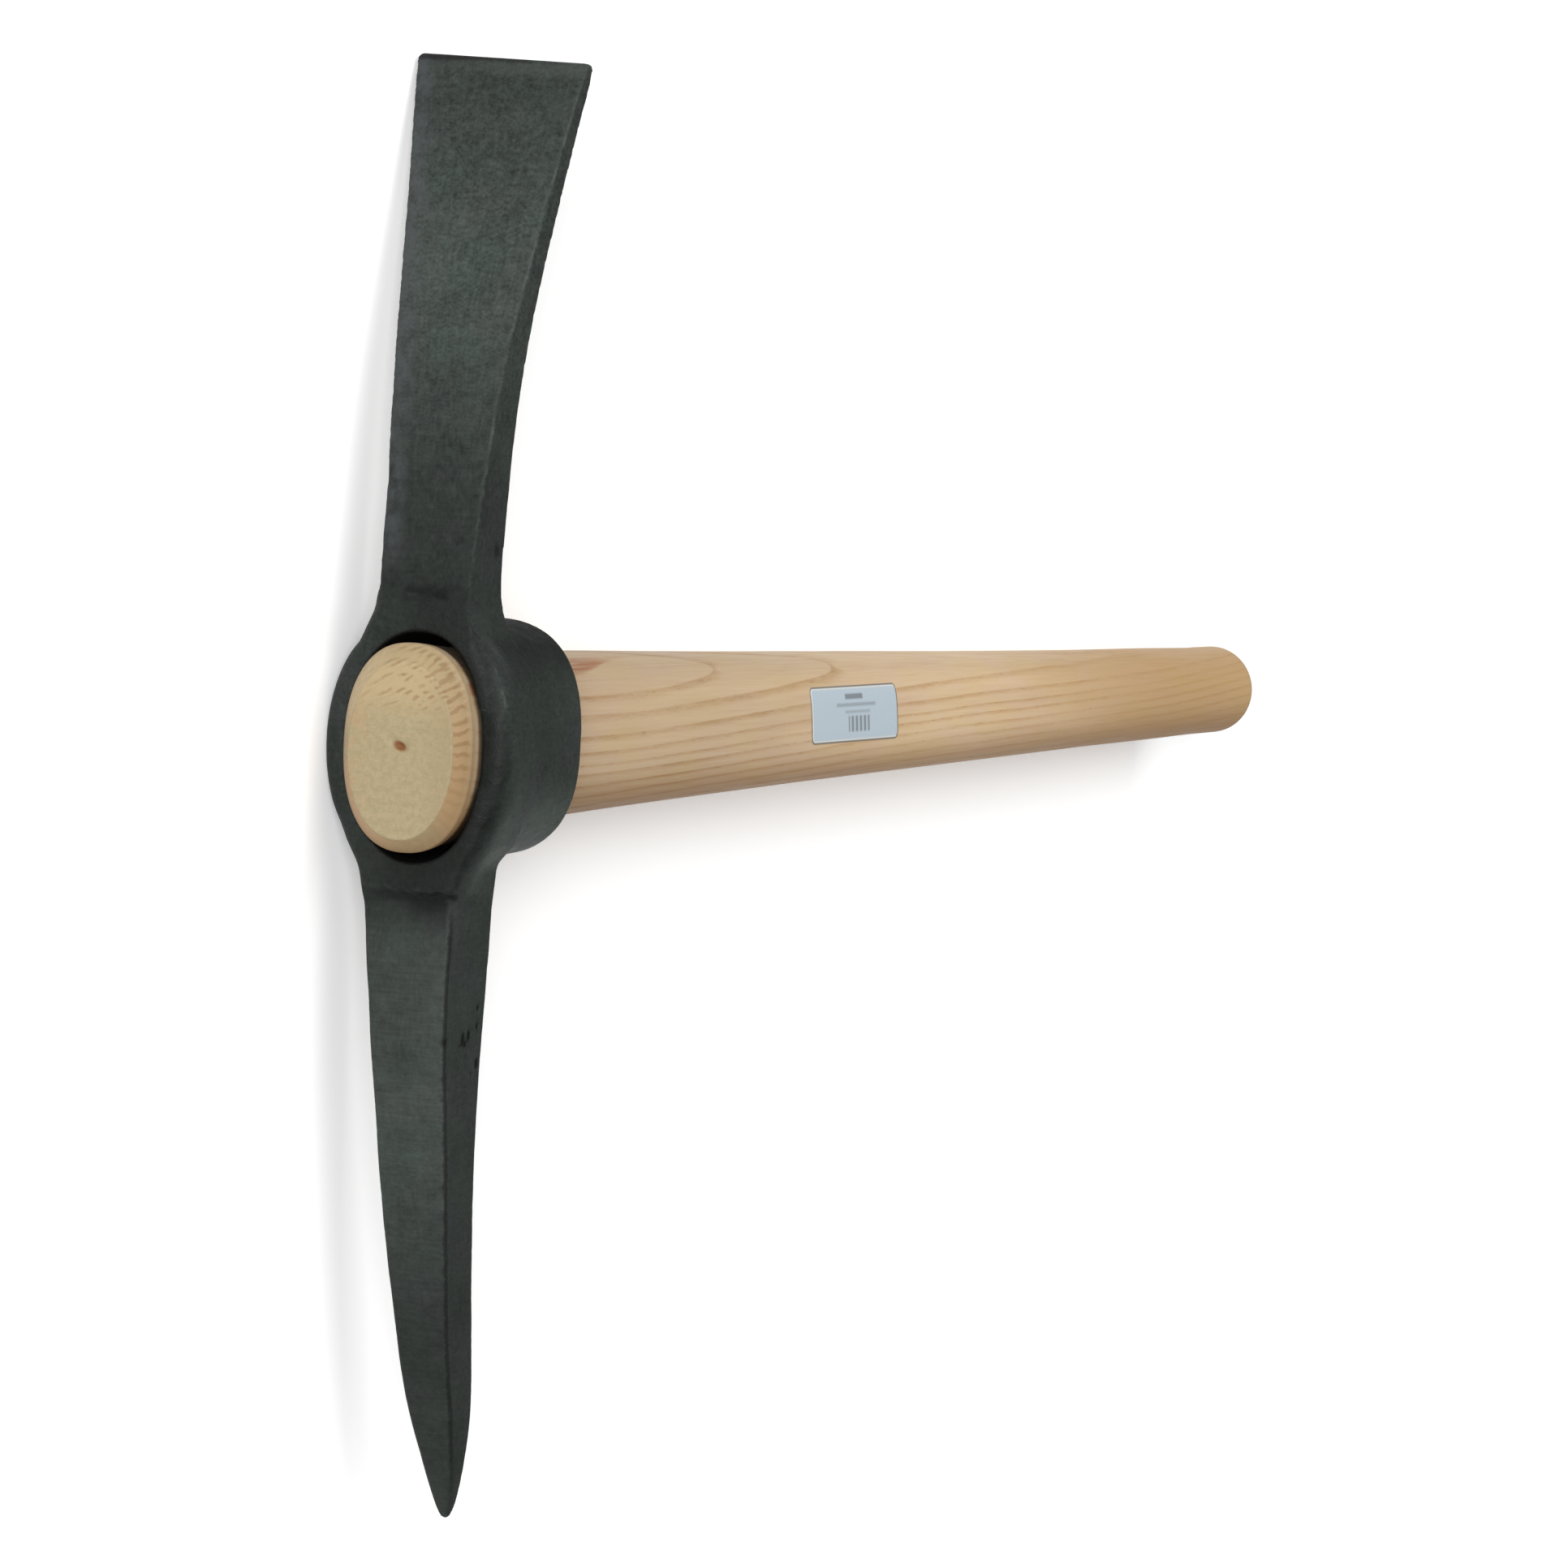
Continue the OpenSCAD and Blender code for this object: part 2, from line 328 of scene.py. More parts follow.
def shell(f, gx, gy, gz):
    """Closed quad mesh of f = 0 on a grid: one vertex in each cell the surface crosses."""
    nx, ny, nz = len(gx), len(gy), len(gz)
    val = np.empty((nx, ny, nz))
    for j in range(0, ny, 24):
        yy = gy[j : j + 24]
        m = np.stack(np.meshgrid(gx, yy, gz, indexing="ij"), -1)
        val[:, j : j + 24, :] = f(m.reshape(-1, 3)).reshape(nx, len(yy), nz)
    grid = (gx, gy, gz)
    cells = (nx - 1, ny - 1, nz - 1)
    total = np.zeros((cells[0] * cells[1] * cells[2], 3))
    count = np.zeros(len(total))
    found = []
    for ax in range(3):
        lo = [slice(None)] * 3
        hi = [slice(None)] * 3
        lo[ax], hi[ax] = slice(0, -1), slice(1, None)
        a, b = val[tuple(lo)], val[tuple(hi)]
        idx = np.argwhere((a < 0) != (b < 0))
        va, vb = a[tuple(idx.T)], b[tuple(idx.T)]
        t = va / (va - vb)
        pos = np.stack([grid[k][idx[:, k]] for k in range(3)], -1)
        pos[:, ax] += t * (grid[ax][idx[:, ax] + 1] - grid[ax][idx[:, ax]])
        u, v = (ax + 1) % 3, (ax + 2) % 3
        ring = []
        for du, dv in ((-1, -1), (0, -1), (0, 0), (-1, 0)):
            cell = idx.copy()
            cell[:, u] += du
            cell[:, v] += dv
            flat = (cell[:, 0] * cells[1] + cell[:, 1]) * cells[2] + cell[:, 2]
            for k in range(3):
                total[:, k] += np.bincount(flat, pos[:, k], len(total))
            count += np.bincount(flat, minlength=len(total))
            ring.append(flat)
        ring = np.stack(ring, -1)
        ring[va > 0] = ring[va > 0][:, ::-1]
        found.append(ring)
    used = np.flatnonzero(count)
    number = np.full(len(total), -1)
    number[used] = np.arange(len(used))
    verts = total[used] / count[used][:, None]
    return verts, number[np.concatenate(found)]


def steps(*spans):
    out = [np.arange(a, b - 1e-6, s) for a, b, s in spans]
    return np.concatenate(out + [[spans[-1][1]]])


verts, faces = shell(
    head_base,
    steps((-2.1, 69.0, 0.9)),
    steps((-287.5, -262, 0.85), (-262, -120, 1.95), (-120, -90, 0.9), (-90, -66, 1.5), (-66, 62, 0.9), (62, 236, 1.95), (236, 251, 0.75)),
    steps((-38.3, 38.3, 0.9)),
)
for _ in range(4):
    g = gradient(head_full, verts, 0.25)
    d = head_full(verts)
    move = d / np.maximum((g * g).sum(1), 0.25)
    move = np.clip(move, -0.6, 0.6)
    verts = verts - g * move[:, None]

normal = gradient(head_full, verts, 0.3)
normal /= np.linalg.norm(normal, axis=1)[:, None]
side = np.cross(normal, np.where(np.abs(normal[:, :1]) < 0.8, [[1.0, 0, 0]], [[0, 1.0, 0]]))
side /= np.linalg.norm(side, axis=1)[:, None]
other = np.cross(normal, side)
# how much the surface falls away around each vertex: over 0 on edges, under 0 in corners
bend = 0.0
for k in range(8):
    a = k * math.pi / 4
    bend = bend + head_base(verts + 2.2 * (math.cos(a) * side + math.sin(a) * other))
bend = bend / 8 - head_base(verts)

world_verts = (verts + [PROUD, 0, 0]) * MM
head = mesh_object("head_forging", world_verts, faces)
point_value(head, "bend", bend)
point_value(head, "pit", dent_depth(verts))
# lacquer tone along the arms and round the eye, with separate values for front faces and for sides; the front/side
# split by facing direction is painted light and shade
FRONT_TONE = pchip((
    (-285, 0.0205), (-220, 0.0168), (-195, 0.021), (-165, 0.030), (-140, 0.032), (-85, 0.030),
    (-70, 0.027), (-58, 0.016), (-50, 0.0085), (-40, 0.0070), (0, 0.0098), (50, 0.0105),
    (60, 0.0140), (85, 0.0170), (120, 0.027), (160, 0.037), (200, 0.0345), (225, 0.027),
    (240, 0.025), (250, 0.023),
))
SIDE_TONE = pchip((
    (-285, 0.0255), (-200, 0.0262), (-150, 0.0300), (-100, 0.0285), (-60, 0.0292), (0, 0.0298),
    (50, 0.026), (80, 0.025), (110, 0.033), (150, 0.041), (200, 0.040), (250, 0.035),
))
vx, vy, vz = verts.T
near_eye = smooth(56, 49, np.abs(vy))
front = smooth(0.45 - 0.40 * near_eye, 0.85, -normal[:, 0])
tone_front = FRONT_TONE(vy) + 0.0105 * near_eye * smooth(2, -24, vz)
# painted shade: the ring's front is darkened where it faces straight forward, on the +z side
tone_front = tone_front * (1 - 0.12 * near_eye * smooth(0.6, 0.95, -normal[:, 0]) * smooth(-6, 6, vz))
# painted shade in the hollow below the step at the point's root
deep = np.maximum(-step_line(vy, vz), 0.0)
hollow_shade = np.exp(-((deep / (3.6 + 6.0 * smooth(-10, 12, vz))) ** 2)) * (0.45 * smooth(-20, -8, vz) + 0.55 * smooth(-12, 9, vz)) * smooth(0.2, -1.0, step_line(vy, vz))
hollow_shade = hollow_shade * smooth(0.80, 0.97, -normal[:, 0])
tone_front = tone_front * (1 - 0.90 * hollow_shade)
scuff = np.exp(-(((vy - 54.8) / 3.4) ** 2)) * smooth(-12, -5, vz) * smooth(15, 9, vz)
# painted highlight: a paler patch on the collar's front edge, towards the chisel
glint = np.exp(-(((vy - 19) / 11) ** 2)) * smooth(0.15, 0.40, -normal[:, 0]) * smooth(0.95, 0.70, -normal[:, 0])
tone_front = tone_front + 0.016 * glint * smooth(14, 26, vz) * smooth(20, 8, vx)
# painted light on the collar's downward-facing side, painted shade on its upward-facing side
below = smooth(-0.02, -0.60, normal[:, 1]) * smooth(5, 14, vx) * near_eye
above = smooth(0.25, 0.75, normal[:, 1]) * smooth(8, 16, vx) * near_eye
tone_side = SIDE_TONE(vy) * (1 + 1.35 * below - 0.62 * above)
point_value(head, "tone", tone_side + (tone_front - tone_side) * front)
point_value(head, "above", above)
# painted shade along the crease under the step at the point's root (darkened in the material)
crease = np.exp(-(((step_line(vy, vz) + 0.9) / 1.5) ** 2)) * smooth(-18, 8, vz) * smooth(0.05, 0.4, -normal[:, 0])
point_value(head, "crease", crease)
# painted highlight along the ragged lip of the step
ledge = np.exp(-(((step_line(vy, vz) - 0.9) / 0.8) ** 2)) * smooth(-21, -15, vz) * smooth(13, 5, vz)
point_value(head, "ledge", ledge * smooth(0.4, 0.8, -normal[:, 0]))
point_value(head, "scuff", scuff * smooth(0.3, 0.7, -normal[:, 0]))
# distance from the point's front right edge, over 0 on the front face
point_value(head, "arris", (POINT_CURVES[2](-vy) / 2 - POINT_LEAN(-vy) - vz) - (vx - POINT_CURVES[0](-vy)))
edge_in = vz + CHISEL_CURVES[2](vy) / 2
left_edge = smooth(11.0, 3.0, edge_in) * smooth(0.1, 0.4, -normal[:, 0]) * smooth(56, 75, vy)
point_value(head, "left_edge", left_edge)
# painted shade: the eye's inside is made near black, so the gap round the handle stays dark
point_value(head, "inside", smooth(1.2, 0.1, eye_distance(verts[:, 0], verts[:, 1], verts[:, 2])))
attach(head, "head")
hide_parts("pick_head")


# ---------------------------------------------------------------- handle shape
# Distance from the eye's front, half height, half width, squareness, rise.
SHAFT = (
    (-4, 37.5, 25.3, 2.3, -0.9), (66, 32.3, 23.0, 2.15, 0.15), (150, 30.3, 22.6, 2.35, 0.95),
    (235, 28.6, 22.3, 2.6, 1.0), (310, 27.2, 22.0, 2.9, 1.0), (430, 25.5, 21.6, 2.9, 0.8),
    (560, 23.8, 21.2, 2.6, 0.4), (700, 22.25, 20.95, 2.25, 0.2), (800, 21.5, 20.85, 2.1, 0.1),
    (875.5, 20.75, 20.75, 2.0, 0), (901.5, 20.75, 20.75, 2.0, 0),
)
SHAFT_H, SHAFT_W, SHAFT_N, SHAFT_C = (pchip([(s[0], s[k]) for s in SHAFT]) for k in (1, 2, 3, 4))
TURN = 144


def oval_ring(x, hy, hz, n, cy=0.0, cz=0.0):
    t = np.arange(TURN) * 2 * math.pi / TURN
    c, s = np.cos(t), np.sin(t)
    return np.stack(
        [
            np.full(TURN, float(x)),
            hy * np.sign(c) * np.abs(c) ** (2 / n) + cy,
            hz * np.sign(s) * np.abs(s) ** (2 / n) + cz,
        ],
        -1,
    )


rings = []
END_X, FLAT_H, FLAT_W = -12.5, 31.8, 20.6
# flat head end, with a turned centre mark
for f in (0.012, 0.024, 0.036, 0.048, 0.06, 0.075, 0.09, 0.11, *(k / 31 for k in range(4, 31))):
    ring = oval_ring(END_X, FLAT_H * f, FLAT_W * f, 2.15, -1.7 * f, 0.3 * f)
    a, b = 0.94 * ring[:, 1] + 0.34 * ring[:, 2], 0.94 * ring[:, 2] - 0.34 * ring[:, 1]
    ring[:, 0] += 1.5 * np.exp(-((a / 1.65) ** 2) - (b / 2.7) ** 2)
    rings.append(ring)
for k in range(4):
    a = k / 3 * 0.96
    e = 0.5 * math.sin(a) - 0.45
    rings.append(oval_ring(END_X + 0.5 * (1 - math.cos(a)), FLAT_H + e, FLAT_W + e, 2.15, -1.7, 0.3))
for k in range(1, 9):
    f = k / 9
    bulge = 0.35 * math.sin(math.pi * f)
    rings.append(
        oval_ring(
            END_X + 0.3 + 7.4 * f, FLAT_H + (37.25 - FLAT_H) * f + bulge, FLAT_W + (25.0 - FLAT_W) * f + bulge,
            2.15 + 0.14 * f, -1.7 + 0.8 * f, 0.3 - 0.8 * f,
        )
    )
for x in (-4.4, -3.6):
    rings.append(oval_ring(x, 37.42 - 0.02 * (x + 4.4), 25.25 - 0.02 * (x + 4.4), 2.3, -0.9, -0.5))
for x in steps((-2, 70, 6), (70, 896, 5.5)):
    rings.append(oval_ring(x, SHAFT_H(x), SHAFT_W(x), SHAFT_N(x), SHAFT_C(x), -0.5 * max(0.0, (66 - x) / 70)))
for k in range(1, 10):
    a = k / 9 * math.pi / 2
    rings.append(oval_ring(898.5 + 3.0 * math.sin(a), 17.75 + 3.0 * math.cos(a), 17.75 + 3.0 * math.cos(a), 2.0))
for k in range(10, 0, -1):
    rings.append(oval_ring(901.5, 17.75 * k / 11, 17.75 * k / 11, 2.0))

hv = np.concatenate(rings)
# hand-shaved surface: long shallow flats and hollows, never proud of the plain shape
wave = 0.10 + 0.07 * noise(hv, (120.0, 16.0, 16.0), 11) + 0.03 * noise(hv, (35.0, 9.0, 9.0), 12)
body = smooth(-6, 70, hv[:, 0]) * smooth(874, 862, hv[:, 0])
radial = hv * [0, 1, 1]
radial /= np.maximum(np.linalg.norm(radial, axis=1), 1e-6)[:, None]
hv = hv - radial * (wave * body)[:, None]

hf = []
n_rings = len(rings)
for k in range(n_rings - 1):
    for i in range(TURN):
        j = (i + 1) % TURN
        hf.append((k * TURN + i, k * TURN + j, (k + 1) * TURN + j, (k + 1) * TURN + i))
first, last = len(hv), len(hv) + 1
hv = np.concatenate([hv, [[END_X + 1.5, 0, 0], [901.5, 0, 0]]])
for i in range(TURN):
    j = (i + 1) % TURN
    hf.append((first, j, i))
    b = (n_rings - 1) * TURN
    hf.append((last, b + i, b + j))

handle = mesh_object("ash_handle", (hv + [PROUD, 0, 0]) * MM, hf)
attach(handle, "handle")
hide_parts("handle")


# ---------------------------------------------------------------- paper label
LX, LY, LL, LH, LR, LK = 325.0, 3.0, 96.0, 23.0, 3.0, 4.6


def label_point(x, y, lift):
    hh, hw, n = float(SHAFT_H(x)), float(SHAFT_W(x)), float(SHAFT_N(x))
    off = y - float(SHAFT_C(x))
    q = abs(off) / hh
    z = hw * (1 - q**n) ** (1 / n)
    ny = math.copysign(q ** (n - 1) / hh, off)
    nz = (z / hw) ** (n - 1) / hw
    s = math.hypot(ny, nz)
    return (x, y + lift * ny / s, z + lift * nz / s)


NU, NV = 60, 28
lv = []
for lift in (0.18, 0.02):
    for j in range(NV + 1):
        # rows close up towards the two long edges so the corners come out round
        v = 0.5 - 0.5 * math.cos(math.pi * j / NV)
        dy = (v - 0.5) * LH
        e = max(0.0, abs(dy) - (LH / 2 - LR))
        inset = LR - math.sqrt(max(LR * LR - e * e, 0.0))
        for i in range(NU + 1):
            x = LX + inset + (LL - 2 * inset) * i / NU - LK * dy / LH
            lv.append(label_point(x, LY + dy, lift))
lf = []
W = NU + 1
off = W * (NV + 1)
for j in range(NV):
    for i in range(NU):
        a, b, c, d = j * W + i, j * W + i + 1, (j + 1) * W + i + 1, (j + 1) * W + i
        lf.append((a, b, c, d))
        lf.append((off + a, off + d, off + c, off + b))
border = (
    [i for i in range(NU)]
    + [j * W + NU for j in range(NV)]
    + [NV * W + i for i in range(NU, 0, -1)]
    + [j * W for j in range(NV, 0, -1)]
)
for k in range(len(border)):
    a, b = border[k], border[(k + 1) % len(border)]
    lf.append((b, a, off + a, off + b))
label = mesh_object("paper_label", (np.array(lv) + [PROUD, 0, 0]) * MM, lf)
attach(label, "handle")
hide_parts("label")


# ---------------------------------------------------------------- materials
class Graph:
    def __init__(self, name):
        self.mat = bpy.data.materials.new(name)
        self.mat.use_nodes = True
        self.tree = self.mat.node_tree
        self.tree.nodes.clear()
        self.out = self.node("ShaderNodeOutputMaterial")
        self.bsdf = self.node("ShaderNodeBsdfPrincipled")
        self.link(self.bsdf.outputs[0], self.out.inputs[0])
        coords = self.node("ShaderNodeTexCoord")
        self.place = coords.outputs["Object"]
        self.facing = coords.outputs["Normal"]

    def node(self, kind, **props):
        n = self.tree.nodes.new(kind)
        for k, v in props.items():
            setattr(n, k, v)
        return n

    def link(self, a, b):
        self.tree.links.new(a, b)

    def put(self, socket, value):
        if isinstance(value, bpy.types.NodeSocket):
            self.link(value, socket)
        else:
            socket.default_value = value

    def math(self, op, a, b=0.0, c=0.0, clamp=False):
        n = self.node("ShaderNodeMath", operation=op, use_clamp=clamp)
        for s, v in zip(n.inputs, (a, b, c)):
            self.put(s, v)
        return n.outputs[0]

    def span(self, v, a, b, lo=0.0, hi=1.0, soft=True):
        n = self.node("ShaderNodeMapRange", interpolation_type="SMOOTHSTEP" if soft else "LINEAR", clamp=True)
        for s, val in zip(n.inputs[:5], (v, a, b, lo, hi)):
            self.put(s, val)
        return n.outputs[0]

    def scaled(self, scale, vec=None, loc=(0, 0, 0)):
        n = self.node("ShaderNodeMapping")
        self.put(n.inputs["Vector"], vec if vec is not None else self.place)
        n.inputs["Scale"].default_value = scale
        n.inputs["Location"].default_value = loc
        return n.outputs[0]

    def noise(self, scale, detail=2.0, rough=0.5, vec=None, warp=0.0):
        n = self.node("ShaderNodeTexNoise")
        self.put(n.inputs["Vector"], vec if vec is not None else self.place)
        n.inputs["Scale"].default_value = scale
        n.inputs["Detail"].default_value = detail
        n.inputs["Roughness"].default_value = rough
        n.inputs["Distortion"].default_value = warp
        return n.outputs["Fac"]

    def mix(self, fac, a, b, blend="MIX"):
        n = self.node("ShaderNodeMix", data_type="RGBA", blend_type=blend, clamp_factor=True)
        self.put(n.inputs[0], fac)
        self.put(n.inputs[6], a)
        self.put(n.inputs[7], b)
        return n.outputs[2]

    def stretch(self, vec, factor):
        n = self.node("ShaderNodeVectorMath", operation="SCALE")
        self.put(n.inputs[0], vec)
        self.put(n.inputs["Scale"], factor)
        return n.outputs[0]

    def ramp(self, fac, stops):
        n = self.node("ShaderNodeValToRGB")
        self.put(n.inputs[0], fac)
        e = n.color_ramp.elements
        while len(e) < len(stops):
            e.new(0.5)
        for el, (p, c) in zip(e, stops):
            el.position = p
            el.color = c if len(c) == 4 else (*c, 1.0)
        return n.outputs[0]

    def bump(self, height, strength, distance, normal=None):
        n = self.node("ShaderNodeBump")
        n.inputs["Strength"].default_value = strength
        n.inputs["Distance"].default_value = distance
        self.put(n.inputs["Height"], height)
        if normal is not None:
            self.link(normal, n.inputs["Normal"])
        return n.outputs[0]

    def axes(self, vec=None):
        n = self.node("ShaderNodeSeparateXYZ")
        self.put(n.inputs[0], vec if vec is not None else self.place)
        return n.outputs

    def attribute(self, name):
        return self.node("ShaderNodeAttribute", attribute_name=name).outputs["Fac"]


def srgb(r, g, b):
    out = []
    for v in (r, g, b):
        v /= 255.0
        out.append(v / 12.92 if v <= 0.04045 else ((v + 0.055) / 1.055) ** 2.4)
    return (*out, 1.0)


# lacquered forged steel
g = Graph("forged_steel_lacquer")
x, y, z = g.axes()
cloud = g.noise(30.0, 4.0, 0.55)
mottle = g.noise(150.0, 3.0, 0.6)
grain = g.noise(850.0, 2.0, 0.6)
streak = g.noise(1.0, 3.0, 0.6, g.scaled((200.0, 900.0, 50.0)))
bend_v = g.attribute("bend")
tone = g.attribute("tone")
fleck = g.noise(420.0, 3.0, 0.6)
blot = g.math("MULTIPLY_ADD", g.math("SUBTRACT", cloud, 0.5), 0.9, 1.0)
blot = g.math("MULTIPLY_ADD", g.math("SUBTRACT", mottle, 0.5), 0.8, blot)
rougher = g.span(y, -0.06, 0.24, 0.72, 1.65)
fine = g.math("MULTIPLY_ADD", g.math("SUBTRACT", grain, 0.5), 0.9, g.math("MULTIPLY", g.math("SUBTRACT", fleck, 0.5), 0.9))
blot = g.math("MULTIPLY_ADD", fine, rougher, blot)
low = g.math("MULTIPLY", g.math("SUBTRACT", streak, 0.5), g.math("ADD", g.span(y, 0.15, 0.09, 0.15, 0.45), g.span(y, -0.04, -0.06, 0.0, 0.20)))
blot = g.math("ADD", blot, low)
tint = g.mix(g.span(g.noise(45.0, 2.0, 0.5), 0.38, 0.64), (0.79, 1.0, 0.86, 1), (0.86, 1.0, 0.92, 1))
base = g.stretch(tint, g.math("MULTIPLY", tone, g.math("MAXIMUM", blot, 0.2)))
band = g.math("MULTIPLY", g.attribute("left_edge"), g.span(mottle, 0.36, 0.62, 0.15, 0.60))
base = g.mix(band, base, (0.043, 0.046, 0.049, 1))
# pale band under the cutting edge, and painted shade as a dark line along the edge itself
lip = g.math("MULTIPLY", g.span(y, 0.2390, 0.2430), g.span(y, 0.2462, 0.2448))
lip = g.math("MULTIPLY", lip, g.span(z, -0.016, 0.010, 0.25, 1.0))
base = g.mix(g.math("MULTIPLY", lip, 0.30), base, (0.060, 0.066, 0.062, 1))
base = g.mix(g.math("MULTIPLY", g.span(y, 0.2456, 0.2470), 0.75), base, (0.006, 0.006, 0.006, 1))
# pale rubbed edges on the chisel; painted shade as a dark line down the point's front right edge
rub = g.span(g.noise(70.0, 3.0, 0.65), 0.47, 0.66)
worn = g.math("MULTIPLY", g.math("MULTIPLY", g.span(bend_v, 0.35, 0.85), rub), g.span(y, 0.058, 0.085))
worn = g.math("MULTIPLY", worn, g.span(z, 0.0, 0.004))
base = g.mix(g.math("MULTIPLY", worn, 0.36), base, (0.100, 0.112, 0.105, 1))
ragged = g.math("MULTIPLY_ADD", g.math("SUBTRACT", g.noise(300.0, 3.0, 0.65), 0.5), 2.6, g.attribute("arris"))
dark = g.span(g.math("ABSOLUTE", g.math("ADD", ragged, 0.45)), 1.75, 0.75)
dark = g.math("MULTIPLY", g.math("MULTIPLY", dark, g.span(z, 0.0, 0.0015)), g.span(y, -0.055, -0.066, 0.0, 0.75))
dark = g.math("MULTIPLY", dark, g.span(y, -0.282, -0.255, 0.35, 1.0))
base = g.mix(g.math("MULTIPLY", dark, 0.85), base, (0.0050, 0.0055, 0.0055, 1))
# darker in concave corners and dents, with painted shade along the crease under the point's step
hollow_dark = g.math("MAXIMUM", g.math("MULTIPLY", g.span(bend_v, -0.10, -0.50), 0.6), g.span(g.attribute("pit"), 0.06, 0.35))
hollow_dark = g.math("MAXIMUM", hollow_dark, g.math("MULTIPLY", g.attribute("crease"), g.span(mottle, 0.32, 0.52, 0.60, 1.0)))
base = g.mix(g.math("MULTIPLY", hollow_dark, 0.90), base, (0.0032, 0.0037, 0.0037, 1))
nx, ny, nz = g.axes(g.facing)
crest = g.math("MULTIPLY_ADD", g.math("SUBTRACT", g.noise(260.0, 3.0, 0.65), 0.5), 0.16, g.math("ADD", nx, 0.60))
crest = g.math("MULTIPLY", g.span(g.math("ABSOLUTE", crest), 0.075, 0.030), g.math("MULTIPLY", g.span(y, 0.008, 0.018), g.span(y, 0.044, 0.034)))
crest = g.math("MULTIPLY", g.math("MULTIPLY", crest, g.span(z, 0.012, 0.018)), g.span(mottle, 0.46, 0.60, 0.05, 1.0))
base = g.mix(g.math("MULTIPLY", crest, 0.24), base, (0.085, 0.095, 0.090, 1))
scratchy = g.noise(1.0, 2.0, 0.6, g.scaled((300.0, 420.0, 260.0)))
base = g.mix(g.math("MULTIPLY", g.attribute("scuff"), g.span(scratchy, 0.42, 0.60, 0.05, 0.70)), base, (0.005, 0.0057, 0.0055, 1))
# painted highlight on the step's lip
lit = g.math("MULTIPLY", g.attribute("ledge"), g.span(g.noise(330.0, 3.0, 0.65), 0.47, 0.60))
base = g.mix(g.math("MULTIPLY", lit, 0.26), base, (0.042, 0.048, 0.045, 1))
# painted shade: near black inside the eye
base = g.mix(g.attribute("inside"), base, (0.003, 0.003, 0.003, 1))
g.link(base, g.bsdf.inputs["Base Color"])
rough = g.math("ADD", g.span(mottle, 0.3, 0.7, 0.48, 0.62), g.math("MULTIPLY", worn, -0.08))
rough = g.math("MULTIPLY_ADD", g.attribute("above"), 0.16, rough)
g.link(rough, g.bsdf.inputs["Roughness"])
g.bsdf.inputs["Specular IOR Level"].default_value = 0.11
n1 = g.bump(g.noise(240.0, 3.0, 0.6), 0.60, 0.0007)
n2 = g.bump(grain, 0.50, 0.0003, n1)
g.link(n2, g.bsdf.inputs["Normal"])
head.data.materials.append(g.mat)

# ash
g = Graph("ash_wood")
x, y, z = g.axes()
warp = g.noise(1.0, 2.0, 0.5, g.scaled((4.0, 16.0, 16.0)))
warp2 = g.noise(1.0, 2.0, 0.5, g.scaled((16.0, 55.0, 55.0)))
# growth rings about a pith close to the handle's upper right side, which it crosses on a
# slow curve; the rings get narrower outwards
xr = g.math("MULTIPLY_ADD", x, 2.5, -1.0)
pith_y = g.math("MULTIPLY_ADD", xr, 0.0110, 0.0371)
pith_z = g.math("MULTIPLY_ADD", xr, g.math("MULTIPLY_ADD", xr, -0.0242, 0.0061), 0.0322)
cy = g.math("SUBTRACT", y, pith_y)
cz = g.math("SUBTRACT", z, pith_z)
rad = g.math("SQRT", g.math("ADD", g.math("MULTIPLY", cy, cy), g.math("MULTIPLY", cz, cz)))
rings_at = g.math("ADD", rad, g.math("MULTIPLY_ADD", warp, 0.0014, -0.0007))
rings_at = g.math("ADD", rings_at, g.math("MULTIPLY_ADD", warp2, 0.0010, -0.0005))
RINGS = (0.0134, 0.0205, 0.0283, 0.0342, 0.0390, 0.0425, 0.0468)
phase = g.math("DIVIDE", g.math("MAXIMUM", g.math("SUBTRACT", rings_at, RINGS[-1]), 0.0), 0.0041)
for r0, r1 in zip(RINGS, RINGS[1:]):
    phase = g.math("ADD", phase, g.span(rings_at, r0, r1, soft=False))
phase = g.math("FRACT", phase)
# keep the lines one width where the rings lie nearly flat to the surface
nx, ny, nz = g.axes(g.facing)
lean = g.math("DIVIDE", g.math("ADD", g.math("MULTIPLY", cy, ny), g.math("MULTIPLY", cz, nz)), rad)
lean = g.math("SQRT", g.math("MAXIMUM", g.math("SUBTRACT", 1.0, g.math("MULTIPLY", lean, lean)), 0.004))
thin = g.math("DIVIDE", phase, g.math("MAXIMUM", g.math("MULTIPLY", lean, 0.95), 0.10))
early = g.math("MULTIPLY", g.span(thin, 0.0, 0.12), g.span(thin, 0.60, 0.10))
fibre = g.noise(1.0, 3.0, 0.6, g.scaled((22.0, 900.0, 900.0)))
fibre2 = g.noise(1.0, 2.0, 0.5, g.scaled((9.0, 260.0, 260.0)))
pores = g.noise(1.0, 1.0, 0.5, g.scaled((160.0, 2600.0, 2600.0)))
tone = g.noise(1.0, 3.0, 0.5, g.scaled((9.0, 30.0, 30.0)))
hue = g.noise(1.0, 2.0, 0.5, g.scaled((22.0, 75.0, 75.0)))
wood = g.mix(g.span(hue, 0.35, 0.65), srgb(201, 174, 145), srgb(201, 175, 135))
wood = g.mix(g.math("MULTIPLY", g.span(tone, 0.35, 0.7), 0.5), wood, srgb(210, 184, 149))
wood = g.mix(g.math("MULTIPLY", g.span(fibre, 0.35, 0.7), 0.30), wood, srgb(188, 156, 117))
wood = g.mix(g.math("MULTIPLY", g.span(fibre2, 0.4, 0.7), 0.25), wood, srgb(216, 190, 155))
fade = g.span(g.noise(1.0, 2.0, 0.5, g.scaled((8.0, 60.0, 60.0))), 0.30, 0.62, 0.40, 1.0)
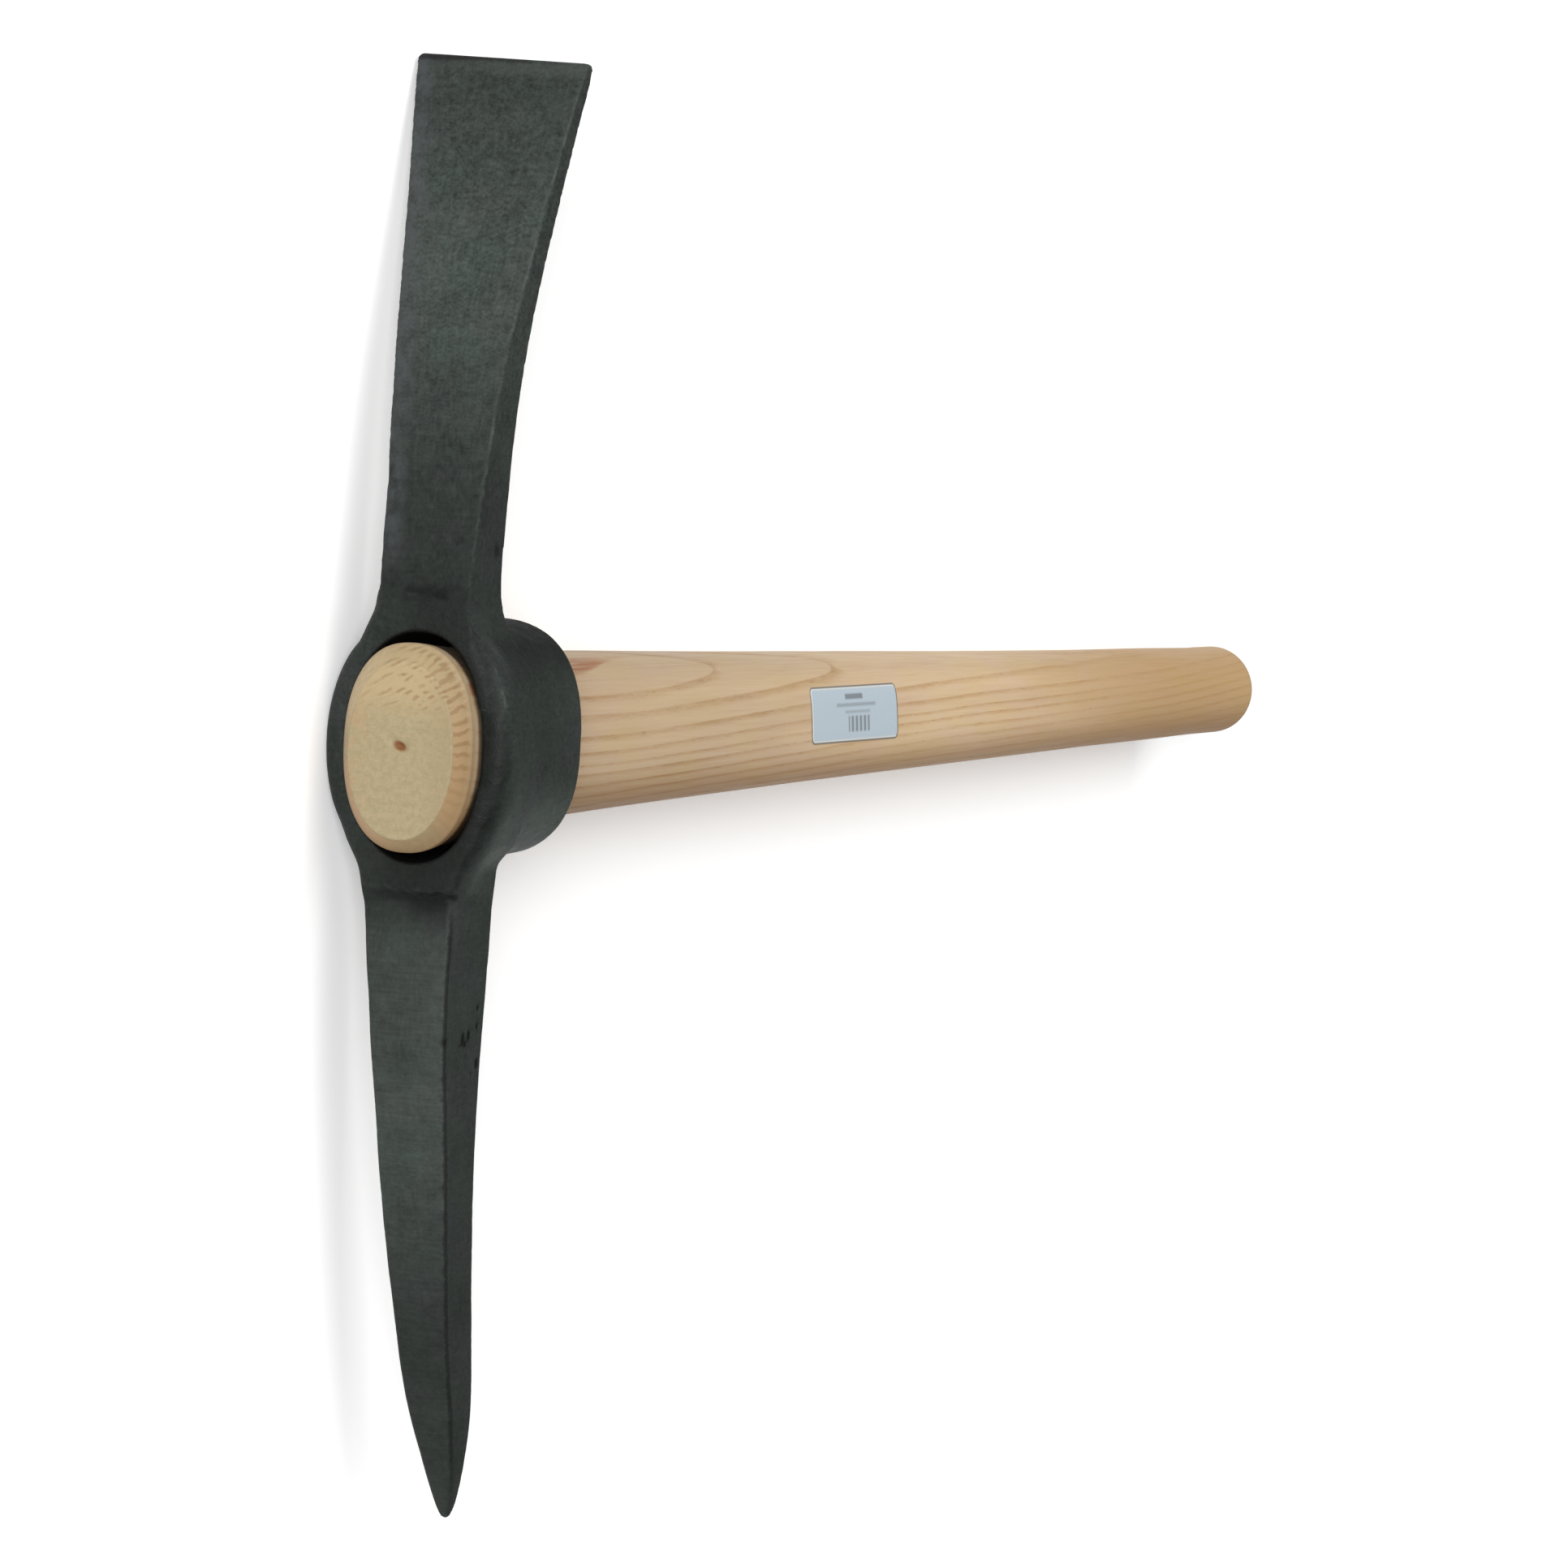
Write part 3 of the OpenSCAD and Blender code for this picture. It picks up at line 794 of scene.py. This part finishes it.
fade = g.math("MULTIPLY", fade, g.span(g.noise(1.0, 2.0, 0.6, g.scaled((60.0, 700.0, 700.0))), 0.30, 0.62, 0.62, 1.0))
line = g.math("MULTIPLY", g.math("MULTIPLY", early, fade), g.span(x, 0.33, 0.50, 1.0, 0.74))
wood = g.mix(g.math("MULTIPLY", line, 0.74), wood, srgb(166, 124, 72))
dash = g.math("MULTIPLY", g.span(pores, 0.60, 0.70), g.math("MULTIPLY_ADD", early, 0.7, 0.08))
wood = g.mix(g.math("MULTIPLY", dash, 0.45), wood, srgb(130, 94, 58))
# reddish stain by the collar, yellower wood towards the grip
off = g.math("SUBTRACT", y, g.math("MULTIPLY_ADD", x, 0.055, 0.0268 - 0.055 * 0.123))
off = g.math("DIVIDE", g.math("ABSOLUTE", off), g.span(x, 0.120, 0.152, 0.0026, 0.0007))
stain = g.math("MULTIPLY", g.span(off, 1.3, 0.5), g.span(x, 0.166, 0.138))
off = g.span(g.math("ABSOLUTE", g.math("SUBTRACT", y, 0.0291)), 0.0008, 0.0002)
stain = g.math("MAXIMUM", stain, g.math("MULTIPLY", g.math("MULTIPLY", off, g.span(x, 0.180, 0.140)), 0.55))
stain = g.math("MULTIPLY", stain, g.math("MULTIPLY", g.span(fibre, 0.32, 0.56, 0.45, 1.0), g.span(z, 0.0, 0.006)))
wood = g.mix(g.math("MULTIPLY", stain, 0.80), wood, srgb(166, 102, 60))
# less bleached by the collar than at mid length
wood = g.stretch(wood, g.span(x, 0.20, 0.55, 0.86, 1.06))
# painted shade: surfaces facing +y made darker
upper = g.span(ny, 0.15, 0.85)
wood = g.stretch(wood, g.math("SUBTRACT", 1.0, g.math("MULTIPLY", upper, g.span(x, 0.45, 0.80, 0.16, 0.18))))
far = g.span(x, 0.50, 0.80)
wood = g.mix(g.math("MULTIPLY", far, 0.68), wood, srgb(165, 129, 79))
# painted shade: darker, browner along the underside
underside_shade = g.math("ADD", y, g.math("MULTIPLY", x, -0.008))
underside_shade = g.span(underside_shade, -0.010, -0.031)
wood = g.mix(g.math("MULTIPLY", underside_shade, 0.78), wood, srgb(132, 86, 20))
# sawn end and its chamfer
speck = g.noise(1500.0, 2.0, 0.6)
speck2 = g.noise(420.0, 3.0, 0.6)
end = g.mix(g.span(speck2, 0.3, 0.7), srgb(128, 116, 87), srgb(139, 126, 96))
end = g.mix(g.math("MULTIPLY", g.span(speck, 0.50, 0.72), 0.35), end, srgb(114, 96, 66))
end = g.mix(g.math("MULTIPLY", g.span(y, 0.006, 0.022), 0.75), end, srgb(150, 132, 98))
end = g.mix(g.math("MULTIPLY", g.span(z, 0.006, 0.018), 0.35), end, srgb(124, 108, 80))
pink = g.math("MULTIPLY", g.span(z, -0.010, -0.020), g.span(g.noise(170.0, 3.0, 0.6), 0.42, 0.62))
end = g.mix(g.math("MULTIPLY", pink, 0.35), end, srgb(150, 108, 78))
plain = end
end = g.mix(g.math("MULTIPLY", early, 0.06), end, srgb(140, 108, 70))
# torn dashes along three arcs over the upper part
ey = g.math("DIVIDE", g.math("SUBTRACT", y, -0.005), 0.0345)
ez = g.math("DIVIDE", g.math("SUBTRACT", z, -0.001), 0.0235)
er = g.math("SQRT", g.math("ADD", g.math("MULTIPLY", ey, ey), g.math("MULTIPLY", ez, ez)))
er = g.math("MULTIPLY_ADD", g.noise(60.0, 2.0, 0.5), 0.05, er)
arc = g.span(g.math("SINE", g.math("MULTIPLY_ADD", er, 42.0, 1.9)), -0.8, 0.4)
arc = g.math("MULTIPLY", arc, g.math("MULTIPLY", g.span(er, 0.52, 0.66), g.span(y, 0.009, 0.017)))
across = g.math("ADD", g.math("MULTIPLY", y, 0.88), g.math("MULTIPLY", z, -0.47))
tear = g.math("SINE", g.math("MULTIPLY_ADD", across, 2700.0, g.math("MULTIPLY", g.noise(110.0, 2.0, 0.5), 9.0)))
tear = g.math("MULTIPLY", g.span(tear, -0.6, 0.8), g.span(g.noise(240.0, 3.0, 0.6), 0.36, 0.58))
streaky = g.math("MULTIPLY", g.math("MULTIPLY", arc, tear), g.span(z, -0.019, 0.002, 0.40, 1.0))
end = g.mix(g.math("MULTIPLY", streaky, 0.66), end, srgb(116, 88, 52))
# chatter across the chamfer, strongest at the upper right
ang = g.math("ARCTAN2", z, g.math("MULTIPLY", y, 0.72))
chat = g.math("SINE", g.math("MULTIPLY_ADD", ang, 48.0, g.math("MULTIPLY", g.noise(120.0, 2.0, 0.5), 9.0)))
here = g.math("MULTIPLY", g.span(z, 0.003, 0.016), g.span(y, -0.026, 0.004, 0.15, 1.0))
here = g.math("MULTIPLY_ADD", here, 0.55, 0.06)
warm = g.math("MULTIPLY", g.span(z, 0.008, 0.020), g.span(y, 0.030, 0.004, 0.25, 1.0))
warm = g.math("MAXIMUM", warm, g.math("MULTIPLY", g.span(y, -0.026, -0.036), 0.55))
tan = g.mix(g.span(y, -0.020, 0.018), srgb(144, 116, 82), srgb(152, 127, 93))
chamfer = g.mix(g.math("MULTIPLY", warm, 0.85), plain, tan)
rim = g.math("MULTIPLY", g.span(z, 0.006, -0.014), g.span(y, 0.004, -0.022, 0.15, 0.75))
chamfer = g.mix(rim, chamfer, srgb(156, 122, 88))
# painted light: the chamfer's upper left, which faces away from the light, made paler
rim = g.math("MULTIPLY", g.span(z, -0.002, -0.016), g.span(y, 0.0, 0.014))
chamfer = g.mix(g.math("MULTIPLY", rim, 0.8), chamfer, srgb(158, 140, 108))
chamfer = g.mix(g.math("MULTIPLY", streaky, 0.45), chamfer, srgb(104, 80, 46))
chamfer = g.mix(g.math("MULTIPLY", g.span(chat, -0.2, 0.9), here), chamfer, srgb(118, 90, 56))
lip = g.mix(g.span(y, -0.024, 0.024), srgb(146, 120, 88), srgb(160, 140, 110))
wood = g.mix(g.span(x, 0.0150, 0.0085), wood, lip)
wood = g.mix(g.span(x, 0.0090, 0.0052), wood, chamfer)
flat = g.math("MULTIPLY", g.span(x, 0.0006, 0.0002), 1.0)
core = g.span(g.math("SQRT", g.math("ADD", g.math("MULTIPLY", y, y), g.math("MULTIPLY", z, z))), 0.0052, 0.0036)
flat = g.math("MAXIMUM", flat, g.math("MULTIPLY", core, g.span(x, 0.003, 0.002)))
wood = g.mix(flat, wood, end)
wood = g.mix(g.math("MULTIPLY", g.span(x, 0.0002, 0.0010), g.math("MULTIPLY", core, g.span(x, 0.004, 0.003))), wood, srgb(106, 66, 32))
# painted shade in the gap where the head sits on the swell: near black, streaked and fading out along the handle
gap_shade_x = g.math("MULTIPLY_ADD", g.math("SUBTRACT", fibre2, 0.5), 0.030, x)
gap_shade = g.math("MULTIPLY", g.span(x, 0.0125, 0.0155), g.span(gap_shade_x, 0.042, 0.018))
gap_shade = g.math("MULTIPLY", gap_shade, g.span(g.math("ABSOLUTE", y), 0.008, 0.028, 0.82, 1.0))
wood = g.mix(g.math("MULTIPLY", gap_shade, 0.87), wood, srgb(38, 31, 25))
g.link(wood, g.bsdf.inputs["Base Color"])
g.link(g.span(fibre, 0.3, 0.7, 0.52, 0.64), g.bsdf.inputs["Roughness"])
g.bsdf.inputs["Specular IOR Level"].default_value = 0.35
n1 = g.bump(g.math("ADD", fibre, g.math("MULTIPLY", dash, -1.5)), 0.20, 0.00025)
n2 = g.bump(g.math("MULTIPLY", g.span(x, 0.0094, 0.0080), g.math("ADD", speck, g.math("MULTIPLY", chat, g.span(x, 0.0003, 0.0012, 0.0, 0.4)))), 0.30, 0.0003, n1)
g.link(n2, g.bsdf.inputs["Normal"])
handle.data.materials.append(g.mat)

# paper
g = Graph("label_paper")
x, y, z = g.axes()
dy = g.math("MULTIPLY", g.math("SUBTRACT", y, LY * MM), 1000.0)
dx = g.math("MULTIPLY", g.math("SUBTRACT", x, (LX + LL / 2 + PROUD) * MM), 1000.0)
dx = g.math("MULTIPLY_ADD", dy, LK / LH, dx)
qx = g.math("SUBTRACT", g.math("ABSOLUTE", dx), LL / 2 - LR)
qy = g.math("SUBTRACT", g.math("ABSOLUTE", dy), LH / 2 - LR)
px, py = g.math("MAXIMUM", qx, 0.0), g.math("MAXIMUM", qy, 0.0)
rim = g.math("SQRT", g.math("ADD", g.math("MULTIPLY", px, px), g.math("MULTIPLY", py, py)))
rim = g.math("ADD", rim, g.math("MINIMUM", g.math("MAXIMUM", qx, qy), 0.0))
rim = g.math("SUBTRACT", LR, rim)
fibre = g.noise(2500.0, 3.0, 0.6)
paper = g.mix(g.span(fibre, 0.3, 0.7), srgb(174, 187, 196), srgb(184, 197, 206))


def bar(x0, x1, y0, y1, s=0.5):
    a = g.math("MULTIPLY", g.span(dx, x0 - s, x0 + s), g.span(dx, x1 + s, x1 - s))
    b = g.math("MULTIPLY", g.span(dy, y0 - s, y0 + s), g.span(dy, y1 + s, y1 - s))
    return g.math("MULTIPLY", a, b)


ink = g.math("MULTIPLY", bar(-10.5, 9.0, 6.0, 8.2), 0.70)
ink = g.math("MAXIMUM", ink, g.math("MULTIPLY", bar(-20.5, 23.0, 3.0, 4.4), 0.42))
ink = g.math("MAXIMUM", ink, g.math("MULTIPLY", bar(-11.5, 16.5, 0.2, 1.4), 0.34))
stripe = g.span(g.math("SINE", g.math("MULTIPLY", dx, 1.38)), -0.5, 0.6, 0.2, 1.0)
ink = g.math("MAXIMUM", ink, g.math("MULTIPLY", g.math("MULTIPLY", bar(-8.0, 15.5, -7.4, -0.9), stripe), 0.70))
paper = g.mix(ink, paper, srgb(88, 92, 96))
paper = g.mix(g.span(rim, 1.35, 1.05), paper, srgb(206, 208, 204))
paper = g.mix(g.math("MULTIPLY", g.span(rim, 0.75, 0.40), 0.85), paper, srgb(92, 84, 76))
g.link(paper, g.bsdf.inputs["Base Color"])
g.bsdf.inputs["Roughness"].default_value = 0.42
g.link(g.bump(fibre, 0.1, 0.0001), g.bsdf.inputs["Normal"])
label.data.materials.append(g.mat)


# ---------------------------------------------------------------- floor and light
# The head lies on its collar and one corner of the chisel edge. The floor is level along the
# handle, so that the head stays clear of it all the way along its slide.
floor_me = bpy.data.meshes.new("floor")
p0 = Vector((0.031, 0.0, -0.0371))
p1 = Vector((0.066, 0.247, -0.0352))
p2 = Vector((0.908, 0.0, -0.0371))
nrm = (p1 - p0).cross(p2 - p0).normalized()
if nrm.z < 0:
    nrm = -nrm
fv = []
for fx, fy in ((-40, -40), (41, -40), (41, 40), (-40, 40)):
    fz = p0.z - (nrm.x * (fx - p0.x) + nrm.y * (fy - p0.y)) / nrm.z
    fv.append((fx, fy, fz - 0.0003))
floor_me.from_pydata(fv, [], [(0, 1, 2, 3)])
floor = bpy.data.objects.new("floor", floor_me)
bpy.context.scene.collection.objects.link(floor)
g = Graph("studio_floor")
soft = g.noise(6.0, 3.0, 0.5)
g.link(g.mix(soft, (0.93, 0.93, 0.93, 1), (0.95, 0.95, 0.95, 1)), g.bsdf.inputs["Base Color"])
g.bsdf.inputs["Roughness"].default_value = 0.9
g.bsdf.inputs["Emission Color"].default_value = (1, 1, 1, 1)
g.bsdf.inputs["Emission Strength"].default_value = 0.18
g.bsdf.inputs["Specular IOR Level"].default_value = 0.1
floor_me.materials.append(g.mat)


def sun(name, toward, strength, spread):
    d = bpy.data.lights.new(name, "SUN")
    d.energy = strength
    d.angle = math.radians(spread)
    o = bpy.data.objects.new(name, d)
    o.rotation_mode = "QUATERNION"
    o.rotation_quaternion = Vector(toward).to_track_quat("Z", "Y")
    bpy.context.scene.collection.objects.link(o)
    return o


# wide soft panels, far enough off to light the floor evenly; the main one is frontal
sun("front", (-0.915, 0.10, 0.39), 3.34, 24)
sun("key", (-0.30, 0.55, 0.78), 1.3, 50)
world = bpy.data.worlds.new("studio")
world.use_nodes = True
world.node_tree.nodes["Background"].inputs[0].default_value = (1, 1, 1, 1)
world.node_tree.nodes["Background"].inputs[1].default_value = 0.335
bpy.context.scene.world = world
bpy.context.scene.view_settings.view_transform = "Standard"
